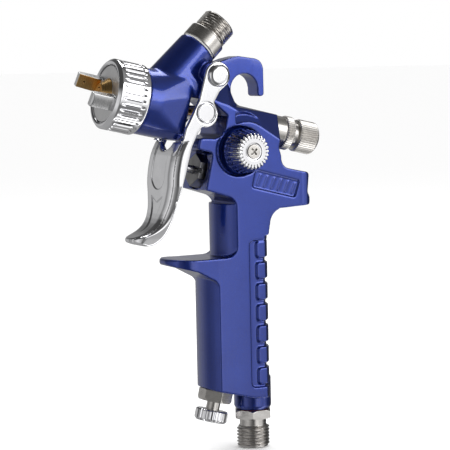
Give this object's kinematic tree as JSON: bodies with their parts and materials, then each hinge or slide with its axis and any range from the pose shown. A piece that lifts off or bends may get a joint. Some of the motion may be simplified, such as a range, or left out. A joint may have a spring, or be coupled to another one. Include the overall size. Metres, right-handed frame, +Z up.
{
  "type": "hvlp spray gun",
  "caption": "Small gravity-feed HVLP paint spray gun: slanted paint inlet, horned air cap, chrome trigger, hanging hook, side, rear and base control knobs, threaded air inlet.",
  "frame": {"origin": "centre of the lower end of the air inlet thread, on its axis", "axes": "+Z up along the air inlet and handle, spray direction towards -X and tilted up 13 degrees, the pattern knob on the -Y side"},
  "size_m": [0.1029, 0.0355, 0.1749],
  "materials": {
    "blue_body": "blue metallic coating over a die-cast body",
    "bright_chrome": "bright chrome plating",
    "satin_nickel": "satin nickel plating with turning marks",
    "plated_cap": "matt grey plating, bare brass where it is machined",
    "brass": "machined brass",
    "steel": "stainless steel",
    "grey_nut": "grey phosphated steel",
    "white_seal": "white seal plastic",
    "black_rubber": "black nitrile rubber",
    "red_fibre": "red fibre washer"
  },
  "bodies": {
    "gun": {"gun_body": "blue_body", "air_inlet_nipple": "satin_nickel", "inlet_washer": "red_fibre", "paint_connector": "satin_nickel", "connector_washer": "white_seal", "fluid_nozzle": "brass", "nozzle_washer": "white_seal", "air_baffle": "brass", "needle_packing": "white_seal", "packing_gland": "brass", "needle_spring": "steel", "fluid_guide": "satin_nickel", "pivot_barrel": "bright_chrome", "pivot_screw": "steel", "air_valve_gland": "grey_nut", "air_valve_packing": "white_seal", "air_valve_seat": "brass", "air_valve_spring": "steel", "pattern_bushing": "satin_nickel", "pattern_o_ring": "black_rubber", "regulator_bushing": "satin_nickel", "regulator_o_ring": "black_rubber"},
    "cap_ring": {"retaining_ring": "bright_chrome", "cap_snap_ring": "steel"},
    "air_cap": {"air_cap": "plated_cap"},
    "needle": {"fluid_needle": "steel", "needle_collar": "brass", "needle_spring_seat": "brass"},
    "trigger": {"trigger": "bright_chrome"},
    "drive_pin": {"drive_pin": "bright_chrome", "drive_pin_clip": "steel"},
    "air_valve": {"air_valve_stem": "steel", "air_valve_seal": "black_rubber"},
    "fluid_knob": {"fluid_knob": "satin_nickel"},
    "lock_nut": {"fluid_lock_nut": "satin_nickel"},
    "pattern_knob": {"pattern_knob": "bright_chrome", "pattern_stem": "satin_nickel", "pattern_knob_screw": "brass"},
    "regulator_knob": {"regulator_knob": "bright_chrome", "regulator_stem": "satin_nickel", "regulator_knob_screw": "steel"}
  },
  "joints": [
    {"name": "trigger_pull", "type": "hinge", "parent": "gun", "child": "trigger", "pos_m": [-0.01913, 0, 0.14966], "axis": [0, -1, 0], "range_deg": [0, 12], "stiffness_Nm_per_rad": 0.5, "springref_deg": -22.92},
    {"name": "drive_pin_turn", "type": "hinge", "parent": "trigger", "child": "drive_pin", "pos_m": [-0.0245, 0, 0.1353], "axis": [0, -1, 0], "range_deg": [-12, 0]},
    {"name": "needle_slide", "type": "slide", "parent": "gun", "child": "needle", "axis": [0.9744, 0, -0.225], "range_m": [0, 0.0033], "deforming": ["needle_spring"]},
    {"name": "air_valve_slide", "type": "slide", "parent": "gun", "child": "air_valve", "axis": [0.9744, 0, -0.225], "range_m": [0, 0.00787], "deforming": ["air_valve_spring"]},
    {"name": "ring_turn", "type": "hinge", "parent": "gun", "child": "cap_ring", "pos_m": [-0.05373, 0, 0.14205], "axis": [-0.9744, 0, 0.225], "range_deg": [-720, 0]},
    {"name": "air_cap_turn", "type": "hinge", "parent": "gun", "child": "air_cap", "pos_m": [-0.05373, 0, 0.14205], "axis": [-0.9744, 0, 0.225], "continuous": true},
    {"name": "fluid_knob_turn", "type": "hinge", "parent": "gun", "child": "fluid_knob", "pos_m": [0.01935, 0, 0.12518], "axis": [0.9744, 0, -0.225], "range_deg": [-720, 720]},
    {"name": "lock_nut_turn", "type": "hinge", "parent": "gun", "child": "lock_nut", "pos_m": [0.01935, 0, 0.12518], "axis": [0.9744, 0, -0.225], "range_deg": [-360, 360]},
    {"name": "pattern_knob_turn", "type": "hinge", "parent": "gun", "child": "pattern_knob", "pos_m": [-0.0078, -0.012, 0.1198], "axis": [0, -1, 0], "range_deg": [-540, 180]},
    {"name": "regulator_turn", "type": "hinge", "parent": "gun", "child": "regulator_knob", "pos_m": [-0.0163, 0, 0.0241], "axis": [-0.2419, 0, -0.9703], "range_deg": [-720, 360]}
  ],
  "couplings": [
    {"joint": "drive_pin_turn", "follows": "trigger_pull", "ratio": -1},
    {"joint": "needle_slide", "follows": "trigger_pull", "m_per_rad": 0.01529},
    {"joint": "air_valve_slide", "follows": "trigger_pull", "m_per_rad": 0.0371}
  ]
}
